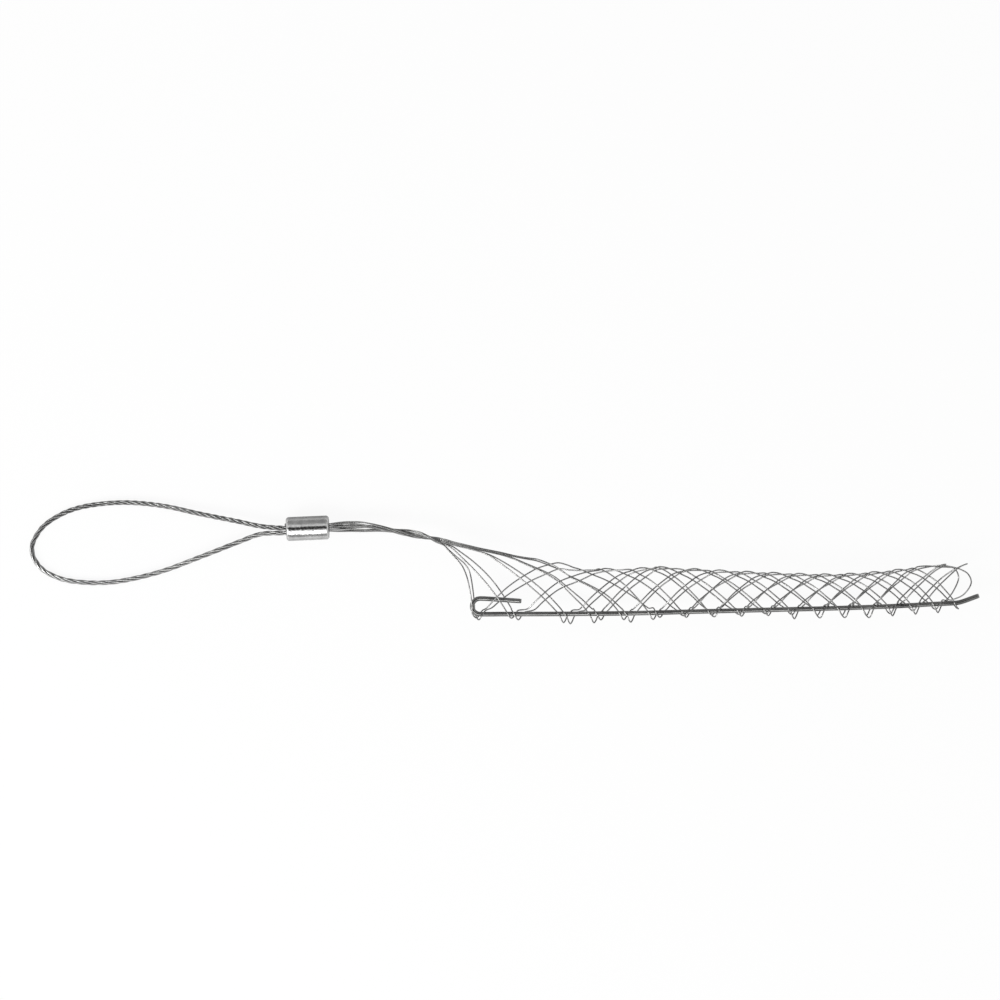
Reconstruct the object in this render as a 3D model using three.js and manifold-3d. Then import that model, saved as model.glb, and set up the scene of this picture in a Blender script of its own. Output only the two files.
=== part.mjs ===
// A wire mesh pulling grip, in millimetres, +Z up.
// An eye of wire rope and a mesh of stranded wires meet in one pressed ferrule. The mesh is a flat
// braid of ten runs, bent round into a tube and laced shut along its split on a rod. Five wires
// make the ten runs: each is doubled over at the tail, with both of its ends in the ferrule.
// The grip lies on the floor as it would come to rest, with the eye at -X, the open tail of the
// mesh at +X, the ridge of the mesh at +Y and the split with its rod at -Y.
import * as THREE from 'three';
import { mergeVertices } from 'three/addons/utils/BufferGeometryUtils.js';
import Module from 'manifold-3d';

const wasm = await Module();
wasm.setup();

const degrees = Math.PI / 180;

// Wires
const strandDiameter = 0.6;
const strandSides = 5;
const ropeDiameter = 2.4;
const ropeSides = 10;
const ropeStep = 5;
const rodDiameter = 2.4;
const rodSides = 12;
const weaveGap = 0.12;
const lacingGap = 0.32;
const longestSegment = 6.5;

// Ferrule
const ferruleDiameter = 12;
const ferruleLength = 21.5;
const ferruleEdge = 1.5;
const ferruleTilt = 2.4 * degrees;
const ferruleX = -98;
const ferruleY = 16.85;
const ferruleSides = 32;
const socketDepth = 9.5;
const socketGap = 0.12;
const cornerRoom = 0.4;
const endClearance = 1;
const socketSides = 8;

// Eye rope: how its two legs sit in the ferrule, and the route of its middle line
const legPitch = 2.5;
const legsBelowAxis = 0.6;
const straightOut = 1.5;
const eyeSink = 1.6;
const eyeRoute = [
  [-121.75, 17.9], [-131.75, 20.0], [-151.75, 24.0], [-171.75, 28.2], [-191.75, 29.7],
  [-211.75, 27.4], [-222.5, 23.4], [-231.75, 16.6], [-236.5, 6.4], [-232.2, -2.8],
  [-222.0, -8.4], [-211.75, -10.2], [-201.75, -10.5], [-191.75, -9.6], [-171.75, -4.9],
  [-151.75, 2.5], [-131.75, 10.3], [-121.75, 13.9],
];

// Mesh: five pairs of runs, and the places where the pairs are laced on the rod in turn. The splits
// tell how far apart the runs of the two sheets are at the rod and at the ridge. The head of the
// mesh is pulled wide and uneven, so its first pairs have ridge splits and shifted rises of their own.
const pairCount = 5;
const visitCount = 18;
const firstVisits = [-13, 5.75, 31.75, 47];
const lacingPitch = 15.05;
const pitchLoss = 0.155;
const twinSplit = 1.7;
const mirrorSplit = 0.6;
const ridgeSplit = 3;
const headRidgeSplits = [[0, 14], [2, 11], [0, 6.5], [-5, 1.5], [-1.5, 1.5]];
const headRiseShifts = [0, 3, 3];
const meshHalfDepth = 10.5;
const straightTurn = 140 * degrees;
const steepening = 8;
const legEndTurn = 148 * degrees;

// Depth of each lacing loop below the rod's axis, for the upper sheet and the lower sheet
const loopDepths = [
  [1.9, 2.8], [2.1, 2.9], [4.4, 5.0], [4.6, 3.2], [3.2, 4.5], [3.4, 2.4],
  [2.8, 1.9], [1.9, 2.8], [2.9, 1.9], [2.9, 1.9], [4.8, 2.6], [3.2, 4.6],
  [3.6, 4.8], [4.2, 5.2], [4.8, 3.6], [4.6, 2.8], [4.4, 2.6], [3.0, 3.0],
];

// Shape of a lacing loop: its reach along the rod, more of it for its depth and where a run comes
// in under the rod, how far it stands off over the rod and goes on along it, how near to its middle
// the legs arrive, and the turn at which a leg that crosses over the rod ends
const loopReach = 1.2;
const reachPerDepth = 0.35;
const wideReach = 1;
const entryEase = 0.008;
const overTop = 0.7;
const footShare = 0.45;
const firstFootShare = 0.9;
const crossEndTurn = 143 * degrees;

// Between these two visits the lower sheet is laced the same way round as the upper one
const firstTwinVisit = 2;
const lastTwinVisit = 6;

// Bundle: the ten runs between the ferrule and the mesh, as a twisted ribbon of five rows
const rowPitch = 0.76;
const layerOffset = 0.4;
const bundleEnd = -29.75;
const bundleStep = 4.1;
const rowSpread = [
  [-100, 1.05], [-87, 1.15], [-78, 1.8], [-70, 1.75], [-56, 1.25], [-43, 1.2], [-36, 1.08], [-29, 1],
];
const bundleTwist = [
  [-110, 0], [-88, 0], [-78, 14], [-70, 32], [-62, 62], [-54, 97], [-44, 180], [-36.5, 270], [-31, 350],
  [-29, 360],
];

// First descents of the five pairs: where a run leaves the bundle, how much of its fall is even,
// and how sharply the rest steepens; for the upper sheet and the lower sheet
const peels = [
  { upper: [-29.7, 0.35, 7], lower: [-29.7, 0.3, 12] },
  { upper: [-27.2, 0.6, 3], lower: [-25.7, 0.42, 3] },
  { upper: [-10.2, 0.5, 2.5], lower: [-9.7, 0.3, 2.5] },
  { upper: [3.3, 0.35, 3], lower: [2.3, 0.35, 3] },
  { upper: [18, 0.5, 4], lower: [16, 0.5, 4] },
];

// The middle lines of the mesh, as heights over x
const ridgePoints = [
  [-110, 17.83], [-98, 18.36], [-87, 18.8], [-78, 19.2], [-70, 19.15], [-62, 18.3], [-54, 17],
  [-42, 15], [-35, 13.1], [-29.75, 11.4], [-25.75, 10.2], [-17.75, 8.3], [-11.75, 6.8], [-1.75, 4.7],
  [7, 2.6], [18, 0.9], [27, 0.1], [35, -2.9], [48, -3.6], [68, -3.3], [78, -2.7], [98, -3.8],
  [128, -5.3], [163, -6.3], [188, -5.0], [208, -2.6], [221, -1.1], [240, -0.9],
];
const rodPoints = [
  [-32, -26], [-11.75, -26], [20, -25.95], [48, -25.75], [68, -25.5], [98, -24.7], [136, -23.8],
  [165, -23.1], [194, -22.1], [213, -21.1], [226.5, -20.4], [240, -19.7],
];
const depthPoints = [
  [-29.75, 0.6], [-24, 2.2], [-18, 3.8], [-11.75, 5.2], [8, 7.6], [28, 9.4], [48, meshHalfDepth],
  [240, meshHalfDepth],
];

// Tail: where the doubled wires turn back, as x and turn round the tube in degrees
const upperTailFall = [[216, 17], [222.3, 28], [228.3, 42], [231.6, 63], [232.8, 88]];
const upperTailRise = [[232.8, 88], [230.7, 115], [226.8, 133], [223.4, 142], [221.4, 148]];
const lowerTailFall = [[215, 19], [220.6, 29], [225.2, 40], [227.5, 55], [228.2, 74]];
const lowerTailRise = [[228.2, 74], [226.8, 99], [224.8, 122], [223, 139], [221.6, 148]];
const tipRounding = 0.14;

// Closing rod: its hook at the eye end and the bend at its tail end
const hookRadius = 3.9;
const hookX = -11.75;
const hookArm = 20.5;
const hookArmTilt = -3.6 * degrees;
const rodTailX = 226;
const rodTailLength = 11.5;
const rodTailTilt = 20 * degrees;
const rodTailRise = 0.3;
const rodTailRounding = 2.3;

// Colours
const ropeSteel = new THREE.MeshStandardMaterial({ color: 0x8d8d8b, roughness: 0.45, metalness: 0.9 });
const meshSteel = new THREE.MeshStandardMaterial({ color: 0x9c9c9a, roughness: 0.4, metalness: 0.9 });
const rodSteel = new THREE.MeshStandardMaterial({ color: 0x777775, roughness: 0.45, metalness: 0.9 });
const ferruleSteel = new THREE.MeshStandardMaterial({ color: 0xb9b9b7, roughness: 0.25, metalness: 1 });

// Values that follow from the sizes above
const strandRadius = strandDiameter / 2;
const ropeRadius = ropeDiameter / 2;
const rodRadius = rodDiameter / 2;
const ferruleZ = ferruleDiameter / 2;
const weaveLift = (strandDiameter + weaveGap) / 2;
const ridgeLift = pairCount % 2 === 0 ? -weaveLift : weaveLift;
const bundleFootHeight = ferruleZ + 0.15;
const meshHeight = meshHalfDepth + weaveLift + strandRadius;
const wrapRadius = rodRadius + strandRadius + lacingGap;
const widestRow = (pairCount - 1) / 2;

// A smooth height over x, through points that lie in order of x
function smoothLine(points) {
  const last = points.length - 1;
  const slope = (i) => {
    const before = points[Math.max(i - 1, 0)];
    const after = points[Math.min(i + 1, last)];
    return (after[1] - before[1]) / (after[0] - before[0]);
  };
  return (x) => {
    let i = 0;
    while (i < last - 1 && x > points[i + 1][0]) i += 1;
    const [x0, y0] = points[i];
    const [x1, y1] = points[i + 1];
    const span = x1 - x0;
    const t = THREE.MathUtils.clamp((x - x0) / span, 0, 1);
    const back = 1 - t;
    return y0 * (1 + 2 * t) * back * back + slope(i) * span * t * back * back
      + y1 * (3 - 2 * t) * t * t - slope(i + 1) * span * t * t * back;
  };
}

const ridgeLine = smoothLine(ridgePoints);
const rodLine = smoothLine(rodPoints);
const halfDepth = smoothLine(depthPoints);
const spread = smoothLine(rowSpread);
const twist = smoothLine(bundleTwist);
const middleHeight = smoothLine([
  [-110, ferruleZ], [-87, ferruleZ], [-80, bundleFootHeight], [-52, 9], [-36, 10.8],
  [bundleEnd, meshHeight], [240, meshHeight],
]);

// A path through given points, with a tube's cross-sections at those points and nowhere else
class PointPath extends THREE.Curve {
  constructor(points) {
    super();
    this.points = points;
  }

  getUtoTmapping(u) {
    return u;
  }

  getPoint(t, target = new THREE.Vector3()) {
    const place = t * (this.points.length - 1);
    const i = Math.min(Math.floor(place), this.points.length - 2);
    return target.lerpVectors(this.points[i], this.points[i + 1], place - i);
  }

  getTangent(t, target = new THREE.Vector3()) {
    const last = this.points.length - 1;
    const i = Math.round(t * last);
    const here = this.points[i];
    const before = this.points[Math.max(i - 1, 0)];
    const after = this.points[Math.min(i + 1, last)];
    const arriving = new THREE.Vector3().subVectors(here, before).normalize();
    const leaving = new THREE.Vector3().subVectors(after, here).normalize();
    return target.addVectors(arriving, leaving).normalize();
  }
}

// A closed tube along the points, of so many flat sides
function tube(points, radius, sides) {
  const section = new THREE.Shape();
  for (let i = 0; i < sides; i += 1) {
    const angle = (i / sides) * 2 * Math.PI;
    const x = radius * Math.cos(angle);
    const y = radius * Math.sin(angle);
    if (i === 0) section.moveTo(x, y);
    else section.lineTo(x, y);
  }
  section.closePath();
  const path = new PointPath(points);
  return new THREE.ExtrudeGeometry(section, {
    steps: points.length - 1,
    extrudePath: path,
    bevelEnabled: false,
  });
}

// Where a pair of runs is laced on the rod, counted from 1; past the last one it tells where the
// next would be, which places the ridge crossings of the tail
function visitX(visit) {
  if (visit <= firstVisits.length) return firstVisits[visit - 1];
  const steps = visit - firstVisits.length;
  return firstVisits[firstVisits.length - 1] + lacingPitch * steps - pitchLoss * steps * steps;
}

// Where the run that rises from a visit on one sheet crosses the ridge to the other sheet
function ridgeX(visit, side) {
  const middle = (visitX(visit) + visitX(visit + pairCount)) / 2;
  if (turnsOver(visit)) return middle;
  const headSplits = headRidgeSplits[visit - 1] ?? [-ridgeSplit, ridgeSplit];
  return middle + (side > 0 ? headSplits[0] : headSplits[1]);
}

// One lacing loop: side is +1 on the upper sheet and -1 on the lower one, and enter is the side of
// the rod on which the run comes down
function lacing(visit, side) {
  const twin = visit >= firstTwinVisit && visit <= lastTwinVisit;
  const enter = side > 0 || twin ? 1 : -1;
  const depth = Math.max(loopDepths[visit - 1][side > 0 ? 0 : 1], wrapRadius);
  const deeper = Math.sign(loopDepths[visit - 1][0] - loopDepths[visit - 1][1]);
  const middle = visitX(visit) + side * (twin ? -twinSplit : deeper * mirrorSplit);
  const reach = loopReach + reachPerDepth * depth;
  const entryReach = reach + (enter < 0 && visit > lastTwinVisit ? wideReach : 0);
  const angles = side === enter
    ? [-20, 30, 62, 90, 118, 150, 200, 255]
    : [-75, -20, 30, 62, 90, 118, 150, 200];
  const place = (angle) => {
    const from = (angle - 90) / 90;
    const along = Math.abs(from) <= 1 ? from : Math.sign(from) * (1 + overTop * (Math.abs(from) - 1));
    const x = middle + along * (along < 0 ? entryReach : reach);
    const under = Math.max(Math.sin(angle * degrees), 0) ** 2;
    const slack = Math.max(0, -angle) * entryEase;
    const radius = wrapRadius + (depth - wrapRadius) * under + slack;
    const y = rodLine(x) - radius * Math.sin(angle * degrees);
    return new THREE.Vector3(x, y, meshHeight + enter * radius * Math.cos(angle * degrees));
  };
  const points = angles.map(place);
  const share = visit <= pairCount ? firstFootShare : footShare;
  const firstX = middle - share * entryReach;
  const lastX = middle + footShare * reach + (headRiseShifts[visit - 1] ?? 0);
  return { points, enter, firstX, lastX };
}

// A leg is a run's way between the ridge and the rod on one sheet. leg.at(s) gives its x and its
// turn round the tube, from s = 0 at the ridge to s = 1 at the rod.
function evenTurn(s) {
  return straightTurn * s + (Math.PI - straightTurn) * s ** steepening;
}

// The turn at which a leg has fallen so much of the height between the ridge and the rod
function turnOfShare(share) {
  return Math.acos(1 - 2 * share);
}

function evenLeg(crest, foot, rounding, crosses) {
  const bend = (s) => Math.hypot(s, rounding) - rounding;
  const at = (s) => ({ x: crest + (foot - crest) * (bend(s) / bend(1)), turn: evenTurn(s) });
  return { at, end: shareEnd(at, crosses), layer: 0 };
}

// How far along a leg the lacing loop takes over: sooner where the run comes in or goes out over
// or under the rod
function shareEnd(at, crosses) {
  const endTurn = crosses ? crossEndTurn : legEndTurn;
  let low = 0;
  let high = 1;
  for (let i = 0; i < 40; i += 1) {
    const middle = (low + high) / 2;
    if (at(middle).turn < endTurn) low = middle;
    else high = middle;
  }
  return low;
}

function firstDescent(pair, side) {
  const [start, even, power] = side > 0 ? peels[pair - 1].upper : peels[pair - 1].lower;
  const { firstX: foot, enter } = lacing(pair, side);
  const rowsBelow = pairCount - pair;
  const at = (s) => {
    const x = bundleEnd + (foot - bundleEnd) * s;
    const fallen = THREE.MathUtils.clamp((x - start) / (foot - start), 0, 1);
    const row = (rowsBelow * rowPitch) / (ridgeLine(x) - rodLine(x));
    const share = row + (1 - row) * (even * fallen + (1 - even) * fallen ** power);
    return { x, turn: turnOfShare(Math.min(share, 1)) };
  };
  return { at, end: shareEnd(at, side !== enter), layer: layerOffset, lead: true };
}

function tailLeg(points) {
  const curve = new THREE.CatmullRomCurve3(points.map(([x, turn]) => new THREE.Vector3(x, turn, 0)));
  const at = (s) => {
    const point = curve.getPoint(s);
    return { x: point.x, turn: point.y * degrees };
  };
  return { at, end: 1, layer: 0, tail: true };
}

// The wires that are doubled over the ridge at the tail leave these two visits
function turnsOver(visit) {
  return visit === visitCount - 3 || visit === visitCount - 2;
}

// All legs of one sheet: falls arrive at a visit and rises leave it
function sheetLegs(side) {
  const falls = [];
  const rises = [];
  for (let visit = 1; visit <= visitCount; visit += 1) {
    const { firstX, lastX, enter } = lacing(visit, side);
    falls[visit] = visit <= pairCount
      ? firstDescent(visit, side)
      : evenLeg(ridgeX(visit - pairCount, -side), firstX, 0, side !== enter);
    const rounding = turnsOver(visit) ? tipRounding : 0;
    rises[visit] = evenLeg(ridgeX(visit, side), lastX, rounding, side === enter);
  }
  const last = visitCount + 1;
  const fallPoints = side > 0 ? upperTailFall : lowerTailFall;
  const risePoints = side > 0 ? upperTailRise : lowerTailRise;
  falls[last] = tailLeg([[ridgeX(last - pairCount, -side), 0], ...fallPoints]);
  rises[visitCount - 1] = tailLeg(risePoints);
  rises.length = visitCount;
  for (const leg of [...falls, ...rises]) if (leg) leg.knots = [];
  addCrossings(falls, rises, side);
  return { falls, rises };
}

// The place on each of two legs where they cross, if they do
function crossingOf(first, second) {
  const pieces = 48;
  const samples = (leg) => Array.from({ length: pieces + 1 }, (unused, i) => {
    const place = leg.at((leg.end * i) / pieces);
    return new THREE.Vector2(place.x, place.turn * meshHalfDepth);
  });
  const a = samples(first);
  const b = samples(second);
  for (let i = 0; i < pieces; i += 1) {
    const along = new THREE.Vector2().subVectors(a[i + 1], a[i]);
    for (let j = 0; j < pieces; j += 1) {
      const other = new THREE.Vector2().subVectors(b[j + 1], b[j]);
      const gap = new THREE.Vector2().subVectors(b[j], a[i]);
      const area = along.cross(other);
      const onFirst = gap.cross(other) / area;
      const onSecond = gap.cross(along) / area;
      if (onFirst >= 0 && onFirst < 1 && onSecond >= 0 && onSecond < 1) {
        return [(first.end * (i + onFirst)) / pieces, (second.end * (j + onSecond)) / pieces];
      }
    }
  }
  return null;
}

// Plain weave: along every run, over and under take turns, and the two sheets mirror each other
function addCrossings(falls, rises, side) {
  for (let visit = 1; visit < rises.length; visit += 1) {
    for (let ahead = 1; ahead <= pairCount && visit + ahead < falls.length; ahead += 1) {
      const rise = rises[visit];
      const fall = falls[visit + ahead];
      const crossing = rise && fall ? crossingOf(rise, fall) : null;
      if (crossing) {
        const riseIsOver = (ahead % 2 === 1) === (side > 0);
        const lift = riseIsOver ? weaveLift : -weaveLift;
        rise.knots.push({ s: crossing[0], lift });
        fall.knots.push({ s: crossing[1], lift: -lift });
      }
    }
  }
}

// A point on the mesh: lift is outwards from the sheet
function sheetPoint(x, turn, side, lift, layer) {
  const top = ridgeLine(x);
  const bottom = rodLine(x);
  const halfHeight = (top - bottom) / 2;
  const depth = halfDepth(x);
  const outward = new THREE.Vector2(Math.cos(turn) * depth, Math.sin(turn) * halfHeight).normalize();
  const y = (top + bottom) / 2 + halfHeight * Math.cos(turn) + lift * outward.x;
  const z = Math.hypot(depth * Math.sin(turn), layer) + lift * outward.y;
  return new THREE.Vector3(x, y, middleHeight(x) + side * z);
}

// The points of a leg from its ridge end to its rod end, with a point at each crossing
function legPoints(leg, side, crestLift) {
  const knots = [{ s: 0, lift: crestLift }, ...leg.knots, { s: leg.end, lift: 0 }];
  knots.sort((a, b) => a.s - b.s);
  const points = [];
  const place = (s, lift) => {
    const { x, turn } = leg.at(s);
    return sheetPoint(x, turn, side, lift, leg.layer);
  };
  knots.forEach((knot, i) => {
    if (i > 0) {
      const before = knots[i - 1];
      const length = place(knot.s, 0).distanceTo(place(before.s, 0));
      const parts = Math.max(leg.lead || leg.tail ? 1 : 2, Math.ceil(length / longestSegment));
      for (let part = 1; part < parts; part += 1) {
        const share = part / parts;
        const ease = (1 - Math.cos(Math.PI * share)) / 2;
        const lift = before.lift + (knot.lift - before.lift) * ease;
        points.push(place(before.s + (knot.s - before.s) * share, lift));
      }
    }
    points.push(place(knot.s, knot.lift));
  });
  return points;
}

// A run inside the ferrule and in the twisted bundle
function bundlePoints(pair, side) {
  const start = ferruleX + ferruleLength / 2 - socketDepth + endClearance;
  const steps = Math.round((bundleEnd - start) / bundleStep);
  const row = pair - 1 - widestRow;
  return Array.from({ length: steps }, (unused, i) => {
    const x = start + ((bundleEnd - start) * i) / steps;
    const angle = twist(x) * degrees;
    const high = row * rowPitch * spread(x);
    const near = side * layerOffset * spread(x);
    const middleY = ridgeLine(x) - widestRow * rowPitch;
    const y = middleY + high * Math.cos(angle) - near * Math.sin(angle);
    return new THREE.Vector3(x, y, middleHeight(x) + high * Math.sin(angle) + near * Math.cos(angle));
  });
}

// A whole run, from inside the ferrule to where the wire is doubled over at the tail
function runPoints(pair, firstSide, sheets) {
  const legsOf = (side) => (side > 0 ? sheets.upper : sheets.lower);
  const points = bundlePoints(pair, firstSide);
  let side = firstSide;
  let crestLift = 0;
  for (let visit = pair; visit <= visitCount; visit += pairCount) {
    const down = legPoints(legsOf(side).falls[visit], side, crestLift);
    points.push(...(visit === pair ? down : down.slice(1)));
    const loop = lacing(visit, side).points;
    if (visit === visitCount) {
      points.push(...loop.slice(0, loop.length / 2));
      return points;
    }
    points.push(...loop);
    const rise = legsOf(side).rises[visit];
    const turnsBack = Boolean(rise.tail) || turnsOver(visit);
    crestLift = turnsBack ? 0 : side * ridgeLift;
    points.push(...legPoints(rise, side, crestLift).reverse());
    if (turnsBack) return points;
    side = -side;
  }
  points.push(...legPoints(legsOf(side).falls[visitCount + 1], side, crestLift).slice(1));
  return points;
}

// The five wires: each is two runs that meet at the tail
function strandPaths() {
  const sheets = { upper: sheetLegs(1), lower: sheetLegs(-1) };
  const doubled = (first, firstSide, second, secondSide) => {
    const there = runPoints(first, firstSide, sheets);
    const back = runPoints(second, secondSide, sheets).reverse();
    const gap = there[there.length - 1].distanceTo(back[0]);
    return [...there, ...(gap < strandRadius ? back.slice(1) : back)];
  };
  return [
    doubled(4, 1, 2, 1),
    doubled(4, -1, 2, -1),
    doubled(5, 1, 5, -1),
    doubled(1, 1, 1, -1),
    doubled(3, 1, 3, -1),
  ];
}

// The rod, from the cut end of its hook to the end of its bent tail
function rodPath() {
  const hookY = rodLine(hookX) + hookRadius;
  const arcSteps = 10;
  const arc = Array.from({ length: arcSteps + 1 }, (unused, i) => {
    const angle = Math.PI / 2 + hookArmTilt + ((Math.PI - hookArmTilt) * i) / arcSteps;
    return [hookX + hookRadius * Math.cos(angle), hookY + hookRadius * Math.sin(angle)];
  });
  const armEnd = [
    arc[0][0] + hookArm * Math.cos(hookArmTilt),
    arc[0][1] + hookArm * Math.sin(hookArmTilt),
  ];
  const straightSteps = 20;
  const straight = Array.from({ length: straightSteps }, (unused, i) => {
    const x = hookX + ((rodTailX - hookX) * (i + 1)) / straightSteps;
    return [x, rodLine(x)];
  });
  const [tailX, tailY] = straight[straightSteps - 1];
  const straightTail = rodTailLength - rodTailRounding;
  const tail = [
    [tailX + rodTailRounding, tailY + rodTailRounding * Math.tan(rodTailTilt / 2)],
    [tailX + rodTailLength, tailY + straightTail * Math.tan(rodTailTilt) + rodTailRise],
  ];
  return [armEnd, ...arc, ...straight, ...tail].map(([x, y]) => new THREE.Vector3(x, y, meshHeight));
}

// A place in the ferrule: along its axis from its middle, and across it in +Y
function inFerrule(along, across) {
  const x = ferruleX + along * Math.cos(ferruleTilt) - across * Math.sin(ferruleTilt);
  const y = ferruleY + along * Math.sin(ferruleTilt) + across * Math.cos(ferruleTilt);
  return [x, y];
}

// The eye: out of the ferrule, round, and back into it, sinking to the floor at its far end
function ropePath() {
  const faceX = -ferruleLength / 2;
  const upperLeg = legPitch / 2 - legsBelowAxis;
  const lowerLeg = -legPitch / 2 - legsBelowAxis;
  const inside = socketDepth - endClearance;
  const ends = (across) => [
    inFerrule(faceX + inside, across),
    inFerrule(faceX + inside / 2, across),
    inFerrule(faceX - straightOut, across),
  ];
  const route = [...ends(upperLeg), ...eyeRoute, ...ends(lowerLeg).reverse()];
  const farX = Math.min(...route.map(([x]) => x));
  const nearX = inFerrule(faceX, 0)[0];
  const height = (x) => {
    const share = THREE.MathUtils.clamp((x - farX) / (nearX - farX), 0, 1);
    return ropeRadius + (ferruleZ - ropeRadius) * share ** eyeSink;
  };
  const curve = new THREE.CatmullRomCurve3(route.map(([x, y]) => new THREE.Vector3(x, y, height(x))));
  return curve.getSpacedPoints(Math.round(curve.getLength() / ropeStep));
}

function solidOf(geometry) {
  const bare = geometry.clone();
  bare.deleteAttribute('normal');
  bare.deleteAttribute('uv');
  const merged = mergeVertices(bare, 1e-4);
  return new wasm.Manifold(new wasm.Mesh({
    numProp: 3,
    vertProperties: new Float32Array(merged.attributes.position.array),
    triVerts: new Uint32Array(merged.index.array),
  }));
}

function geometryOf(solid) {
  const mesh = solid.getMesh();
  const geometry = new THREE.BufferGeometry();
  geometry.setAttribute('position', new THREE.BufferAttribute(mesh.vertProperties, 3));
  geometry.setIndex(new THREE.BufferAttribute(mesh.triVerts, 1));
  geometry.computeVertexNormals();
  return geometry;
}

// An oval socket, open at one end of the ferrule: sign is the end, middle its offset from the axis
function socket(halfWidth, halfHeight, middle, sign) {
  const outline = new THREE.Shape();
  const straight = halfHeight - halfWidth;
  outline.absarc(0, middle + straight, halfWidth, 0, Math.PI);
  outline.absarc(0, middle - straight, halfWidth, Math.PI, 2 * Math.PI);
  outline.closePath();
  const geometry = new THREE.ExtrudeGeometry(outline, {
    depth: socketDepth + 2,
    steps: 1,
    curveSegments: socketSides,
    bevelEnabled: false,
  });
  geometry.rotateY(Math.PI / 2);
  const start = sign > 0 ? ferruleLength / 2 - socketDepth : -ferruleLength / 2 - 2;
  geometry.translate(start, 0, 0);
  return solidOf(geometry);
}

function ferruleGeometry() {
  const radius = ferruleDiameter / 2;
  const half = ferruleLength / 2;
  const profile = new THREE.Path();
  profile.moveTo(0, -half);
  profile.lineTo(radius - ferruleEdge, -half);
  profile.absarc(radius - ferruleEdge, -half + ferruleEdge, ferruleEdge, -Math.PI / 2, 0);
  profile.lineTo(radius, half - ferruleEdge);
  profile.absarc(radius - ferruleEdge, half - ferruleEdge, ferruleEdge, 0, Math.PI / 2);
  profile.lineTo(0, half);
  const body = new THREE.LatheGeometry(profile.getPoints(3), ferruleSides);
  body.rotateZ(-Math.PI / 2);
  const ropeSocket = socket(
    ropeRadius + socketGap,
    ropeRadius + socketGap + legPitch / 2,
    -legsBelowAxis,
    -1,
  );
  const faceX = ferruleX + ferruleLength / 2;
  const runSocket = socket(
    layerOffset * spread(faceX) + strandRadius + socketGap,
    widestRow * rowPitch * spread(faceX) + strandRadius + cornerRoom,
    0,
    1,
  );
  return geometryOf(solidOf(body).subtract(ropeSocket).subtract(runSocket));
}

function named(name, geometry, material) {
  const mesh = new THREE.Mesh(geometry, material);
  mesh.name = name;
  return mesh;
}

function buildGrip() {
  const group = new THREE.Group();
  const ferrule = named('ferrule', ferruleGeometry(), ferruleSteel);
  ferrule.position.set(ferruleX, ferruleY, ferruleZ);
  ferrule.rotation.z = ferruleTilt;
  group.add(ferrule);
  group.add(named('eye_rope', tube(ropePath(), ropeRadius, ropeSides), ropeSteel));
  group.add(named('closing_rod', tube(rodPath(), rodRadius, rodSides), rodSteel));
  strandPaths().forEach((points, i) => {
    group.add(named(`mesh_strand_${i + 1}`, tube(points, strandRadius, strandSides), meshSteel));
  });
  return group;
}

// The origin is under the middle of the grip, on the floor
const group = buildGrip();
const box = new THREE.Box3().setFromObject(group);
const middle = box.getCenter(new THREE.Vector3());
group.position.set(-middle.x, -middle.y, -box.min.z);

export default group;
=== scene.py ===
# Looks of a wire mesh pulling grip, in metres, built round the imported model.
# The photograph looks straight down on the grip, which lies on a white floor.
import math

import bmesh
import bpy
import numpy as np
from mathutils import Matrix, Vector


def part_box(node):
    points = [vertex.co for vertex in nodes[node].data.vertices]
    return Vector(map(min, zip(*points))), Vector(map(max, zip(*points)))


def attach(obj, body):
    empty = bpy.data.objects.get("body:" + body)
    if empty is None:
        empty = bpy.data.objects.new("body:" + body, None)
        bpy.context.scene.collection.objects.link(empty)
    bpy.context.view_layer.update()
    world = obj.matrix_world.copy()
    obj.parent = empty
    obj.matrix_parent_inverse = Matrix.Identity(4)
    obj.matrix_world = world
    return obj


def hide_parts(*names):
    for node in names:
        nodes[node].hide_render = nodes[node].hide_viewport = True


MM = 0.001

# Wires, as in the model
STRANDS = 5
STRAND_SIDES = 5
ROPE_SIDES = 10
ROD_DIAMETER = 2.4 * MM
ROD_SIDES = 12

# Each strand is laid of round wires: how far in its grooves reach, as a share of its radius
WIRES = 6
GROOVE_REACH = 0.74

# Mesh strands: drawn a little thicker than in the model, which looked too faint beside the photograph
LAID_STRAND = 0.72 * MM
STRAND_LAY = 6.5 * MM
STRAND_STEP = 0.5 * MM
# How dark the painted shade in the mesh strands' grooves is
STRAND_PAINTED_SHADE = 0.5

# Eye rope: the strands lie closer on the upper leg of the eye than on the lower one, and the shade
# painted in and between them is darker there. Between the legs, both change over a stretch of the
# rope's length.
ROPE_STRANDS = 4
ROPE_LAYS = (16.4 * MM, 21.7 * MM)
ROPE_PAINTED_SHADE = (1.25, 0.55)
ROPE_CHANGE = (0.4, 0.6)
LAID_DIAMETER = 2.5 * MM
PRESSED_STRAND = 1.1 * MM
WIRE_LAY = 24 * MM
ROPE_STEP = 0.5 * MM

# Closing rod: the section of the drawn rod, and the size of its ends as a share of the rod
ROD_SECTION = 28
ROD_END = 0.86
ROD_STEP = 1.0 * MM

# Bunches: how many packed points of each run they take in, and along X where they are formed, how
# far their middles are from the middle of the ten runs, and how far their wires are from their own
BUNCH_POINTS = 17
BUNCH_X = np.array([-88, -79, -71, -60, -46, -36, -30]) * MM
BUNCH_APART = np.array([1.25, 1.4, 1.45, 1.15, 1.0, 0.88, 0.8]) * MM
BUNCH_RADIUS = np.array([0.8, 1.05, 1.15, 0.85, 0.68, 0.56, 0.52]) * MM
BUNCH_TURN = -0.8 * math.pi

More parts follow.
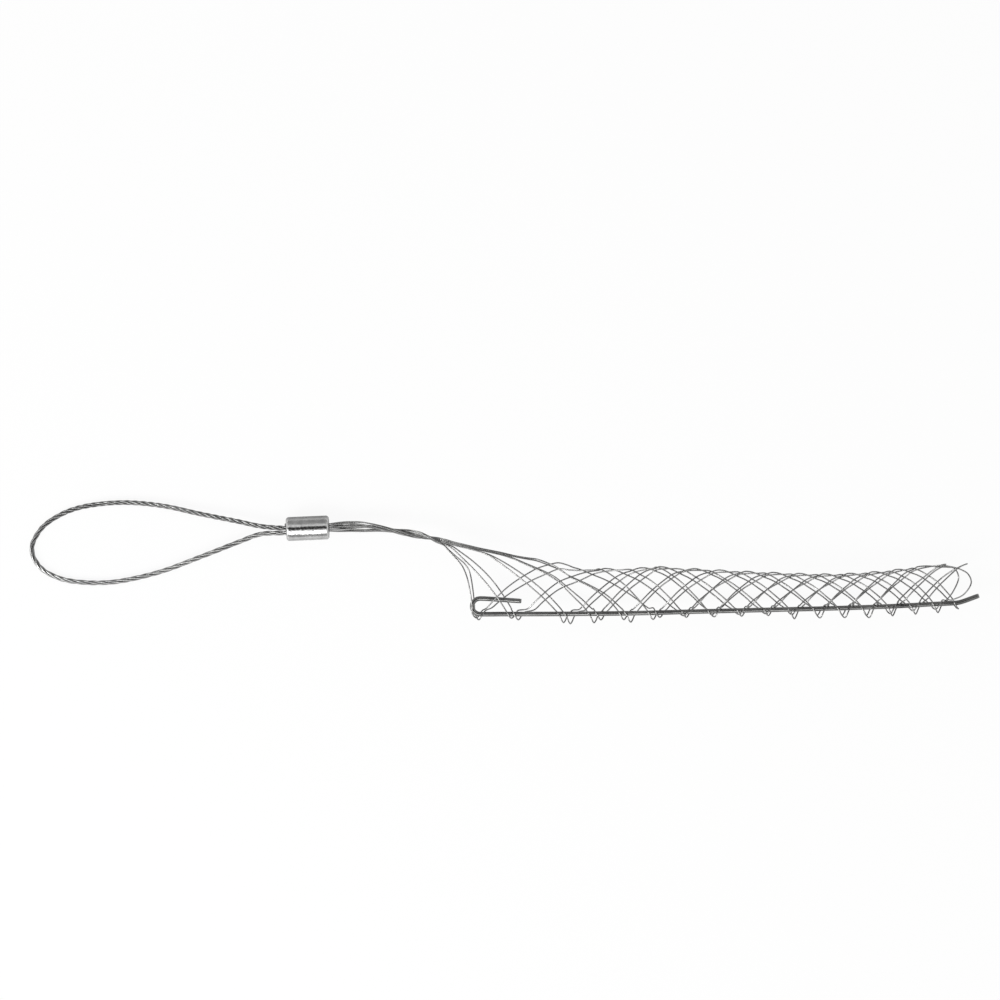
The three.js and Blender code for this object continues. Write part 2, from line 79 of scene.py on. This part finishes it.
# Ferrule: its middle and its tilt in the frame that the photograph was measured in, and its sizes.
# A socket's sizes are half its width, half its length and how far it is off the middle.
FERRULE_PLACE = (-98 * MM, 16.85 * MM)
FERRULE_TILT = math.radians(2.4)
FERRULE_DIAMETER = 12 * MM
FERRULE_LENGTH = 21.5 * MM
FERRULE_EDGE = 1.5 * MM
SOCKET_DEPTH = 9.5 * MM
ROPE_SOCKET = (1.35 * MM, 2.6 * MM, -0.6 * MM)
RUN_SOCKET = (0.88 * MM, 2.44 * MM, 0.0)
MOUTH_ROUNDING = 0.25 * MM
FERRULE_CORNERS = 96
FERRULE_BANDS = 12
EDGE_PIECES = 8

# Painted dark reflections on the ferrule: the shaded floor beside it, painted into the metal's colour.
# Along its two sides they start at one share of the radius and are full at another, and differ between
# the -Y and the +Y side. Its end faces get them too, together with an outer share of their rounded
# edges.
SIDE_REFLECTION_FROM = 0.62
SIDE_REFLECTION_FULL = 0.96
SIDE_DARK_REFLECTION = (0.6, 0.9)
FACE_DARK_REFLECTION = 0.4
FACE_SHARE = 0.4

# The cut end of a strand beside the rope: its middle line, and its radius
STRAND_END_X = np.array([-108.2, -108.5, -108.9, -109.3, -109.5]) * MM
STRAND_END_Y = 18.7 * MM
STRAND_END_RAISED = 0.4 * MM
STRAND_END_RADIUS = 0.55 * MM
STRAND_END_TAPER = np.array([1, 1, 1, 1, 0.6])

# The camera looks down from far off on a square of the floor
PHOTO_WIDTH = 500 * MM
CAMERA_OVER = (-1.75 * MM, 31 * MM)
CAMERA_FOCAL = 200
CAMERA_SENSOR = 36
MIDDLE_HEIGHT = 9 * MM

# The floor: its own colour, and how much of it is plain white to the camera and in metal
FLOOR_SIZE = 12
FLOOR_COLOUR = 0.82
WHITE_TO_CAMERA = 0.92
WHITE_IN_METAL = 0.12

# The light tent: its level from the -Y side (0) over the top (0.5) to the +Y side (1)
TENT_LEVELS = [
    (0.0, 0.38), (0.06, 0.4), (0.14, 0.75), (0.36, 0.85), (0.5, 0.85),
    (0.62, 0.8), (0.74, 0.95), (0.8, 0.6), (0.88, 0.36), (1.0, 0.34),
]

# The dark slit in the light tent: its half lengths as shares of the sky, its offset from overhead,
# where it starts and stops fading out as shares of those lengths, and its own level
SLIT_REACH = (0.9, 0.32)
SLIT_OFFSET = -0.03
SLIT_FADE = (0.6, 1.1)
SLIT_LEVEL = 0.04

# Painted shade in the wires' grooves, and the painted dark reflections on the ferrule, darken the metal
# to this share of its colour
PAINTED_SHADE_TONE = 0.16

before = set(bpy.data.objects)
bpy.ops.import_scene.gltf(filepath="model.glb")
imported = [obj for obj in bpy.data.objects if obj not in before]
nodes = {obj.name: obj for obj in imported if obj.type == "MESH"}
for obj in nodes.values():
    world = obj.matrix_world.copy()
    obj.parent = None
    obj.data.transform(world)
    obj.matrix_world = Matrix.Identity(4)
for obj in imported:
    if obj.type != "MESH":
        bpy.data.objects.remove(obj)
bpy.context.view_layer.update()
scene = bpy.context.scene


# Camera first: it sees the same square as the photograph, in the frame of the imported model
def model_shift():
    """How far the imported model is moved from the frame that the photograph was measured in."""
    low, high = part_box("ferrule")
    middle = [(low[i] + high[i]) / 2 for i in range(2)]
    return Vector((middle[0] - FERRULE_PLACE[0], middle[1] - FERRULE_PLACE[1], 0))


def add_camera():
    data = bpy.data.cameras.new("photo_camera")
    data.lens = CAMERA_FOCAL
    data.sensor_width = CAMERA_SENSOR
    data.clip_end = 20
    camera = bpy.data.objects.new("photo_camera", data)
    scene.collection.objects.link(camera)
    shift = model_shift()
    distance = PHOTO_WIDTH * CAMERA_FOCAL / CAMERA_SENSOR
    camera.location = (CAMERA_OVER[0] + shift.x, CAMERA_OVER[1] + shift.y, MIDDLE_HEIGHT + distance)
    scene.camera = camera


add_camera()


# Lines along the wires
def ring_centres(node, sides, end_x):
    """The middle line of a packed tube, from the centres of its rings of corners.

    end_x is -1 or +1: the walk starts at the tube's end that lies furthest along -X or +X.
    """
    mesh = bmesh.new()
    mesh.from_mesh(nodes[node].data)
    bmesh.ops.remove_doubles(mesh, verts=mesh.verts, dist=0.002 * MM)
    start = max(mesh.verts, key=lambda v: end_x * v.co.x)
    near = sorted(mesh.verts, key=lambda v: (v.co - start.co).length)
    ring = near[:sides]
    seen = set(ring)
    centres = []
    while ring:
        centres.append(sum((v.co for v in ring), Vector()) / len(ring))
        following = []
        for vert in ring:
            for edge in vert.link_edges:
                other = edge.other_vert(vert)
                if other not in seen:
                    seen.add(other)
                    following.append(other)
        ring = following
    mesh.free()
    return np.array(centres)


def smooth_line(points, step):
    """A centripetal spline through the points, with its own points at even steps."""
    padded = np.vstack([2 * points[0] - points[1], points, 2 * points[-1] - points[-2]])
    pieces = 12
    fine = []
    for i in range(1, len(padded) - 2):
        a, b, c, d = padded[i - 1:i + 3]
        t1 = math.sqrt(np.linalg.norm(b - a))
        t2 = t1 + math.sqrt(np.linalg.norm(c - b))
        t3 = t2 + math.sqrt(np.linalg.norm(d - c))
        t = np.linspace(t1, t2, pieces, endpoint=False)[:, None]
        ab = (t1 - t) / t1 * a + t / t1 * b
        bc = (t2 - t) / (t2 - t1) * b + (t - t1) / (t2 - t1) * c
        cd = (t3 - t) / (t3 - t2) * c + (t - t2) / (t3 - t2) * d
        abc = (t2 - t) / t2 * ab + t / t2 * bc
        bcd = (t3 - t) / (t3 - t1) * bc + (t - t1) / (t3 - t1) * cd
        fine.append((t2 - t) / (t2 - t1) * abc + (t - t1) / (t2 - t1) * bcd)
    fine = np.vstack(fine + [points[-1:]])
    along = np.concatenate([[0], np.cumsum(np.linalg.norm(np.diff(fine, axis=0), axis=1))])
    even = np.linspace(0, along[-1], max(2, round(along[-1] / step)))
    return np.column_stack([np.interp(even, along, fine[:, k]) for k in range(3)])


def carried_frames(line):
    """Tangents of the line, and two directions across it that are carried along without a twist."""
    tangents = np.gradient(line, axis=0)
    tangents /= np.linalg.norm(tangents, axis=1)[:, None]
    side = np.cross(tangents[0], (0, 0, 1))
    side /= np.linalg.norm(side)
    sides = [side]
    for tangent in tangents[1:]:
        side = side - tangent * np.dot(side, tangent)
        side = side / np.linalg.norm(side)
        sides.append(side)
    sides = np.array(sides)
    return tangents, sides, np.cross(tangents, sides)


def length_along(line):
    return np.concatenate([[0], np.cumsum(np.linalg.norm(np.diff(line, axis=0), axis=1))])


def laid_section(radius, wires):
    """Outline of a strand of round wires: two corners for each wire, on its crown and in its groove,
    with the groove corners marked for painted shade.
    """
    crown_groove = [radius, GROOVE_REACH * radius]
    count = 2 * wires
    angles = np.arange(count) * 2 * math.pi / count
    radii = np.array([crown_groove[i % 2] for i in range(count)])
    grooves = np.array([float(i % 2) for i in range(count)])
    return angles, radii, grooves


def round_section(radius, sides):
    return np.arange(sides) * 2 * math.pi / sides, np.full(sides, radius), np.zeros(sides)


def sweep(line, section, lay=None, ends=None):
    """Corners, faces and groove marks of a closed tube, which carry the painted shade.

    lay is the length of one turn of the section. ends holds a share of the radius for each point.
    """
    angles, radii, grooves = section
    count = len(angles)
    _, across, upright = carried_frames(line)
    turn = np.zeros(len(line)) if lay is None else length_along(line) * 2 * math.pi / lay
    scale = np.ones(len(line)) if ends is None else ends
    angle = angles[None, :] + turn[:, None]
    reach = radii[None, :] * scale[:, None]
    corners = (
        line[:, None, :]
        + across[:, None, :] * (np.cos(angle) * reach)[:, :, None]
        + upright[:, None, :] * (np.sin(angle) * reach)[:, :, None]
    ).reshape(-1, 3)
    ring = np.arange(len(line) - 1)[:, None] * count
    here = np.arange(count)[None, :]
    after = (here + 1) % count
    quads = np.stack([ring + here, ring + after, ring + count + after, ring + count + here], axis=2)
    faces = [tuple(quad) for quad in quads.reshape(-1, 4).tolist()]
    last = (len(line) - 1) * count
    faces.append(tuple(range(count - 1, -1, -1)))
    faces.append(tuple(range(last, last + count)))
    return corners, faces, np.tile(grooves, len(line))


def add_piece(name, tubes, material):
    """One object from closed tubes or shells, that rides on the grip."""
    corners = []
    faces = []
    grooves = []
    for tube_corners, tube_faces, tube_grooves in tubes:
        offset = sum(len(c) for c in corners)
        corners.append(tube_corners)
        faces.extend(tuple(i + offset for i in face) for face in tube_faces)
        grooves.append(tube_grooves)
    mesh = bpy.data.meshes.new(name)
    mesh.from_pydata(np.vstack(corners).tolist(), [], faces)
    # The painted shade of each corner, kept as a mesh attribute
    depth = mesh.attributes.new("painted_shade", "FLOAT", "POINT")
    depth.data.foreach_set("value", np.concatenate(grooves))
    mesh.materials.append(material)
    for polygon in mesh.polygons:
        polygon.use_smooth = len(polygon.vertices) == 4
    piece = bpy.data.objects.new(name, mesh)
    scene.collection.objects.link(piece)
    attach(piece, "root")
    return piece


# Materials
def steel(name, dark, light, roughness, patch_size, fine_size, bump):
    """Worn steel: patches from dark to light, painted shade from a mesh attribute (in grooves, and as
    dark reflections on the ferrule), fine bumps and uneven gloss.

    Gives the material, its node tree, its shader and the node that its patterns take their place from.
    """
    material = bpy.data.materials.new(name)
    material.use_nodes = True
    tree = material.node_tree
    shader = tree.nodes["Principled BSDF"]
    shader.inputs["Metallic"].default_value = 1
    place = tree.nodes.new("ShaderNodeTexCoord")

    def add_noise(size, detail):
        noise = tree.nodes.new("ShaderNodeTexNoise")
        noise.inputs["Scale"].default_value = 1 / size
        noise.inputs["Detail"].default_value = detail
        tree.links.new(place.outputs["Object"], noise.inputs["Vector"])
        return noise

    def add_ramp(source, low, high):
        ramp = tree.nodes.new("ShaderNodeValToRGB")
        ramp.color_ramp.elements[0].position = 0.3
        ramp.color_ramp.elements[0].color = (*low, 1)
        ramp.color_ramp.elements[1].position = 0.7
        ramp.color_ramp.elements[1].color = (*high, 1)
        tree.links.new(source, ramp.inputs["Fac"])
        return ramp

    patches = add_noise(patch_size, 4)
    colour = add_ramp(patches.outputs["Fac"], dark, light)
    # Painted shade: a mesh attribute darkens the colour towards the shade tone
    painted_shade = tree.nodes.new("ShaderNodeAttribute")
    painted_shade.attribute_name = "painted_shade"
    painted_darkening = tree.nodes.new("ShaderNodeMixRGB")
    painted_darkening.blend_type = "MULTIPLY"
    painted_darkening.inputs["Color2"].default_value = (PAINTED_SHADE_TONE, PAINTED_SHADE_TONE, PAINTED_SHADE_TONE, 1)
    tree.links.new(painted_shade.outputs["Fac"], painted_darkening.inputs["Fac"])
    tree.links.new(colour.outputs["Color"], painted_darkening.inputs["Color1"])
    tree.links.new(painted_darkening.outputs["Color"], shader.inputs["Base Color"])
    fine = add_noise(fine_size, 3)
    gloss = add_ramp(fine.outputs["Fac"], (roughness[0],) * 3, (roughness[1],) * 3)
    tree.links.new(gloss.outputs["Color"], shader.inputs["Roughness"])
    relief = tree.nodes.new("ShaderNodeBump")
    relief.inputs["Strength"].default_value = 0.6
    relief.inputs["Distance"].default_value = bump
    tree.links.new(fine.outputs["Fac"], relief.inputs["Height"])
    tree.links.new(relief.outputs["Normal"], shader.inputs["Normal"])
    return material, tree, shader, place


mesh_steel = steel(
    "mesh_steel", dark=(0.25, 0.25, 0.25), light=(0.52, 0.52, 0.51), roughness=(0.16, 0.3),
    patch_size=9 * MM, fine_size=0.4 * MM, bump=0.01 * MM,
)[0]
rope_steel = steel(
    "rope_steel", dark=(0.42, 0.42, 0.42), light=(0.7, 0.7, 0.69), roughness=(0.16, 0.34),
    patch_size=6 * MM, fine_size=0.3 * MM, bump=0.015 * MM,
)[0]


def drawn_lines(tree, shader, place, stretch, strength, distance):
    """Fine lines along X, as drawing or rubbing leaves them, under the bumps that are there."""
    mapping = tree.nodes.new("ShaderNodeMapping")
    mapping.inputs["Scale"].default_value = stretch
    lines = tree.nodes.new("ShaderNodeTexNoise")
    lines.inputs["Scale"].default_value = 1
    lines.inputs["Detail"].default_value = 5
    relief = tree.nodes.new("ShaderNodeBump")
    relief.inputs["Strength"].default_value = strength
    relief.inputs["Distance"].default_value = distance
    tree.links.new(place.outputs["Object"], mapping.inputs["Vector"])
    tree.links.new(mapping.outputs["Vector"], lines.inputs["Vector"])
    tree.links.new(lines.outputs["Fac"], relief.inputs["Height"])
    earlier = shader.inputs["Normal"].links[0].from_node
    tree.links.new(relief.outputs["Normal"], earlier.inputs["Normal"])


rod_steel, rod_tree, rod_shader, rod_place = steel(
    "rod_steel", dark=(0.13, 0.13, 0.13), light=(0.27, 0.27, 0.265), roughness=(0.16, 0.3),
    patch_size=14 * MM, fine_size=0.5 * MM, bump=0.012 * MM,
)
drawn_lines(
    rod_tree, rod_shader, rod_place, stretch=(60, 4000, 4000), strength=0.5, distance=0.03 * MM
)

ferrule_steel, ferrule_tree, ferrule_shader, ferrule_place = steel(
    "ferrule_steel", dark=(0.52, 0.52, 0.52), light=(0.72, 0.72, 0.715), roughness=(0.1, 0.24),
    patch_size=3 * MM, fine_size=1.1 * MM, bump=0.13 * MM,
)
drawn_lines(
    ferrule_tree, ferrule_shader, ferrule_place,
    stretch=(150, 1500, 1500), strength=0.35, distance=0.02 * MM,
)


def dull_where_painted_dark(tree, shader):
    """Where the dark reflections are painted, less of the metal's shine is left: the darker the mark,
    the lower the metallic.
    """
    painted_dark = tree.nodes.new("ShaderNodeAttribute")
    painted_dark.attribute_name = "painted_shade"
    shine = tree.nodes.new("ShaderNodeMath")
    shine.operation = "SUBTRACT"
    shine.inputs[0].default_value = 1
    tree.links.new(painted_dark.outputs["Fac"], shine.inputs[1])
    tree.links.new(shine.outputs["Value"], shader.inputs["Metallic"])


dull_where_painted_dark(ferrule_tree, ferrule_shader)


# Mesh strands. Both runs of a strand start in the ferrule. On their way to the mesh all ten runs
# have been pulled together into two bunches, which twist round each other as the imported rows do.
def bunch_runs(lines):
    """Moves the first points of the ten runs, in the lines themselves, into two twisted bunches."""
    runs = [run for line in lines for run in (line[:BUNCH_POINTS], line[::-1][:BUNCH_POINTS])]
    packed = np.array(runs)
    middle = packed.mean(axis=0)
    order = np.argsort(packed[:, 0, 1])
    along_rows = packed[order[-2:]].mean(axis=0) - packed[order[:2]].mean(axis=0)
    along_rows[:, 0] = 0
    along_rows /= np.linalg.norm(along_rows, axis=1)[:, None]
    across_rows = np.cross((1, 0, 0), along_rows)
    x = middle[:, 0] - model_shift().x
    apart = np.interp(x, BUNCH_X, BUNCH_APART)
    loose = np.interp(x, BUNCH_X, BUNCH_RADIUS)
    share = np.interp(x, [BUNCH_X[0], BUNCH_X[1], BUNCH_X[-2], BUNCH_X[-1]], [0, 1, 1, 0])
    for sign, members in ((-1, order[:5]), (1, order[5:])):
        offsets = packed[members, 0, 1:]
        offsets = offsets - offsets.mean(axis=0)
        members = members[np.argsort(np.arctan2(offsets[:, 1], offsets[:, 0]))]
        for place, member in enumerate(members):
            angle = 2 * math.pi * place / len(members) + BUNCH_TURN
            forward = sign * apart + loose * math.cos(angle)
            bunched = middle + along_rows * forward[:, None]
            bunched += across_rows * (loose * math.sin(angle))[:, None]
            runs[member] += (bunched - packed[member]) * share[:, None]


def add_strands():
    section = laid_section(LAID_STRAND / 2, WIRES)
    lines = [ring_centres(f"mesh_strand_{i + 1}", STRAND_SIDES, -1) for i in range(STRANDS)]
    bunch_runs(lines)
    for number, centres in enumerate(lines, 1):
        node = f"mesh_strand_{number}"
        line = smooth_line(centres, STRAND_STEP)
        corners, faces, grooves = sweep(line, section, STRAND_LAY)
        # Painted shade in the grooves between the wires
        tube = (corners, faces, STRAND_PAINTED_SHADE * grooves)
        piece = add_piece(f"laid_strand_{number}", [tube], mesh_steel)
        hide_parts(node)


add_strands()


# Closing rod
def add_rod():
    line = smooth_line(ring_centres("closing_rod", ROD_SIDES, 1), ROD_STEP)
    ends = np.ones(len(line))
    ends[0] = ROD_END
    ends[-1] = ROD_END
    tube = sweep(line, round_section(ROD_DIAMETER / 2, ROD_SECTION), None, ends)
    piece = add_piece("drawn_rod", [tube], rod_steel)
    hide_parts("closing_rod")


add_rod()


# Eye rope: its strands of wires, laid round the middle line
def add_rope():
    line = smooth_line(ring_centres("eye_rope", ROPE_SIDES, 1), ROPE_STEP)
    if line[0, 1] < line[-1, 1]:
        line = line[::-1]
    _, across, upright = carried_frames(line)
    along = length_along(line)
    change = [share * along[-1] for share in ROPE_CHANGE]
    turns = np.cumsum(np.gradient(along) / np.interp(along, change, ROPE_LAYS))
    # How strong the painted shade is along the rope: darker on the upper leg
    painted_darkening = np.repeat(np.interp(along, change, ROPE_PAINTED_SHADE), 2 * WIRES)
    orbit = (LAID_DIAMETER - PRESSED_STRAND) / 2
    section = laid_section(PRESSED_STRAND / 2, WIRES)
    tubes = []
    for i in range(ROPE_STRANDS):
        angle = (turns + i / ROPE_STRANDS) * 2 * math.pi
        strand = line + orbit * (across * np.cos(angle)[:, None] + upright * np.sin(angle)[:, None])
        corners, faces, grooves = sweep(strand, section, WIRE_LAY)
        centres = np.repeat(line, len(section[0]), axis=0)
        # Painted shade: the deeper a corner lies inside the rope, the darker it is painted, and its
        # wires' grooves are darker too
        sunk = 1 - np.linalg.norm(corners - centres, axis=1) / (LAID_DIAMETER / 2)
        tubes.append((corners, faces, np.clip(painted_darkening * (0.6 * grooves + 2 * sunk), 0, 1)))
    piece = add_piece("laid_rope", tubes, rope_steel)
    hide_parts("eye_rope")
    low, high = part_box("ferrule")


add_rope()


# Ferrule: a round sleeve with an oval socket in each end
def oval_reach(angle, half_width, half_height):
    """Distance from the middle of an oval with straight sides to its edge."""
    straight = half_height - half_width
    c, s = abs(math.cos(angle)), abs(math.sin(angle))
    if s * half_width <= c * straight:
        return half_width / c
    return s * straight + math.sqrt(half_width ** 2 - (c * straight) ** 2)


def add_ferrule():
    count = FERRULE_CORNERS
    radius = FERRULE_DIAMETER / 2
    half = FERRULE_LENGTH / 2
    angles = [2 * math.pi * i / count for i in range(count)]
    rings = []

    def circle(along, reach):
        rings.append([(along, reach * math.sin(a), reach * math.cos(a)) for a in angles])

    def oval(along, socket, grow):
        half_width, half_height, offset = socket
        ring = []
        for a in angles:
            reach = oval_reach(a, half_width, half_height) + grow
            ring.append((along, offset + reach * math.sin(a), reach * math.cos(a)))
        rings.append(ring)

    def mouth(sign, socket):
        face = sign * half
        steps = [
            (face - sign * SOCKET_DEPTH, 0),
            (face - sign * MOUTH_ROUNDING, 0),
            (face - sign * MOUTH_ROUNDING * 0.3, MOUTH_ROUNDING * 0.3),
            (face, MOUTH_ROUNDING),
        ]
        for along, grow in steps if sign < 0 else reversed(steps):
            oval(along, socket, grow)

    def edge(sign):
        turns = [math.pi / 2 * i / EDGE_PIECES for i in range(EDGE_PIECES + 1)]
        for turn in reversed(turns) if sign < 0 else turns:
            along = sign * (half - FERRULE_EDGE + FERRULE_EDGE * math.sin(turn))
            circle(along, radius - FERRULE_EDGE + FERRULE_EDGE * math.cos(turn))

    mouth(-1, ROPE_SOCKET)
    edge(-1)
    for i in range(1, FERRULE_BANDS):
        circle(-half + FERRULE_EDGE + (FERRULE_LENGTH - 2 * FERRULE_EDGE) * i / FERRULE_BANDS, radius)
    edge(1)
    mouth(1, RUN_SOCKET)

    shift = model_shift()
    low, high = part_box("ferrule")
    middle_up = (low[2] + high[2]) / 2
    turned = []
    painted_dark = []
    for ring in rings:
        for along, across, up in ring:
            # Painted dark reflections along both sides, darker on the +Y side, and on the end faces
            side_dark = min(1, max(0, (abs(across) / radius - SIDE_REFLECTION_FROM) / (SIDE_REFLECTION_FULL - SIDE_REFLECTION_FROM)))
            side_dark *= SIDE_DARK_REFLECTION[1] if across > 0 else SIDE_DARK_REFLECTION[0]
            face = FACE_DARK_REFLECTION if abs(along) > half - FACE_SHARE * FERRULE_EDGE else 0
            painted_dark.append(max(side_dark, face))
            x = FERRULE_PLACE[0] + along * math.cos(FERRULE_TILT) - across * math.sin(FERRULE_TILT)
            y = FERRULE_PLACE[1] + along * math.sin(FERRULE_TILT) + across * math.cos(FERRULE_TILT)
            turned.append((x + shift.x, y + shift.y, up + middle_up))
    faces = []
    for r in range(len(rings) - 1):
        for i in range(count):
            j = (i + 1) % count
            faces.append((r * count + i, (r + 1) * count + i, (r + 1) * count + j, r * count + j))
    faces.append(tuple(range(count)))
    last = (len(rings) - 1) * count
    faces.append(tuple(range(last + count - 1, last - 1, -1)))
    sleeve = (np.array(turned), faces, np.array(painted_dark))
    piece = add_piece("pressed_sleeve", [sleeve], ferrule_steel)
    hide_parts("ferrule")


add_ferrule()


# The cut end of a strand that peeps out of the ferrule beside the rope
def add_strand_end():
    low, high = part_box("ferrule")
    shift = model_shift()
    up = (low[2] + high[2]) / 2 + STRAND_END_RAISED
    count = len(STRAND_END_X)
    ys = np.full(count, STRAND_END_Y + shift.y)
    line = np.column_stack([STRAND_END_X + shift.x, ys, np.full(count, up)])
    # Painted shade in the grooves of its wires, at full strength
    tube = sweep(line, laid_section(STRAND_END_RADIUS, WIRES), None, STRAND_END_TAPER)
    add_piece("cut_strand_end", [tube], rod_steel)


add_strand_end()


# Floor: pale, white to the camera, and it keeps the shadow
def add_floor():
    bpy.ops.mesh.primitive_plane_add(size=FLOOR_SIZE, location=(0, 0, 0))
    floor = bpy.context.object
    floor.name = "floor"
    material = bpy.data.materials.new("floor")
    material.use_nodes = True
    tree = material.node_tree
    tree.nodes.remove(tree.nodes["Principled BSDF"])
    output = tree.nodes["Material Output"]
    diffuse = tree.nodes.new("ShaderNodeBsdfDiffuse")
    diffuse.inputs["Color"].default_value = (FLOOR_COLOUR, FLOOR_COLOUR, FLOOR_COLOUR, 1)
    glow = tree.nodes.new("ShaderNodeEmission")
    rays = tree.nodes.new("ShaderNodeLightPath")
    reflected = tree.nodes.new("ShaderNodeMath")
    reflected.operation = "MAXIMUM"
    in_metal = tree.nodes.new("ShaderNodeMath")
    in_metal.operation = "MULTIPLY"
    in_metal.inputs[1].default_value = WHITE_IN_METAL
    share = tree.nodes.new("ShaderNodeMath")
    share.operation = "MULTIPLY_ADD"
    share.inputs[1].default_value = WHITE_TO_CAMERA
    mix = tree.nodes.new("ShaderNodeMixShader")
    tree.links.new(rays.outputs["Is Glossy Ray"], reflected.inputs[0])
    tree.links.new(rays.outputs["Is Transmission Ray"], reflected.inputs[1])
    tree.links.new(reflected.outputs["Value"], in_metal.inputs[0])
    tree.links.new(rays.outputs["Is Camera Ray"], share.inputs[0])
    tree.links.new(in_metal.outputs["Value"], share.inputs[2])
    tree.links.new(share.outputs["Value"], mix.inputs["Fac"])
    tree.links.new(diffuse.outputs["BSDF"], mix.inputs[1])
    tree.links.new(glow.outputs["Emission"], mix.inputs[2])
    tree.links.new(mix.outputs["Shader"], output.inputs["Surface"])
    floor.data.materials.append(material)


add_floor()


# Light: a studio tent that is bright on the rod's side, dimmer on the other, and has a dark slit
# round the camera, which glossy metal shows as a dark line
def add_world():
    world = bpy.data.worlds.new("studio")
    scene.world = world
    world.use_nodes = True
    tree = world.node_tree
    place = tree.nodes.new("ShaderNodeTexCoord")
    parts = tree.nodes.new("ShaderNodeSeparateXYZ")
    half = tree.nodes.new("ShaderNodeMath")
    half.operation = "MULTIPLY_ADD"
    half.inputs[1].default_value = 0.5
    half.inputs[2].default_value = 0.5
    ramp = tree.nodes.new("ShaderNodeValToRGB")
    ramp.color_ramp.interpolation = "EASE"
    elements = ramp.color_ramp.elements
    while len(elements) < len(TENT_LEVELS):
        elements.new(0.5)
    for element, (position, level) in zip(elements, TENT_LEVELS):
        element.position = position
        element.color = (level, level, level, 1)
    squeeze = tree.nodes.new("ShaderNodeMapping")
    squeeze.inputs["Location"].default_value = (0, SLIT_OFFSET / SLIT_REACH[1], 0)
    squeeze.inputs["Scale"].default_value = (1 / SLIT_REACH[0], 1 / SLIT_REACH[1], 0)
    away = tree.nodes.new("ShaderNodeVectorMath")
    away.operation = "LENGTH"
    fade = tree.nodes.new("ShaderNodeMapRange")
    fade.interpolation_type = "SMOOTHSTEP"
    fade.inputs["From Min"].default_value = SLIT_FADE[0]
    fade.inputs["From Max"].default_value = SLIT_FADE[1]
    fade.inputs["To Min"].default_value = SLIT_LEVEL
    background = tree.nodes["Background"]
    tree.links.new(place.outputs["Generated"], parts.inputs["Vector"])
    tree.links.new(parts.outputs["Y"], half.inputs[0])
    tree.links.new(half.outputs["Value"], ramp.inputs["Fac"])
    tree.links.new(place.outputs["Generated"], squeeze.inputs["Vector"])
    tree.links.new(squeeze.outputs["Vector"], away.inputs[0])
    tree.links.new(away.outputs["Value"], fade.inputs["Value"])
    tree.links.new(ramp.outputs["Color"], background.inputs["Color"])
    tree.links.new(fade.outputs["Result"], background.inputs["Strength"])


add_world()


def add_softbox(name, place, size, power):
    data = bpy.data.lights.new(name, "AREA")
    data.shape = "RECTANGLE"
    data.size = size[0]
    data.size_y = size[1]
    data.energy = power
    lamp = bpy.data.objects.new(name, data)
    lamp.location = place
    lamp.rotation_euler = (-Vector(place)).to_track_quat("-Z", "Y").to_euler()
    scene.collection.objects.link(lamp)


add_softbox("key_softbox", place=(-0.3, -0.9, 1.1), size=(1.2, 0.7), power=7)
add_softbox("side_softbox", place=(-1.1, -0.7, 0.9), size=(0.7, 0.7), power=14)

scene.view_settings.view_transform = "Standard"
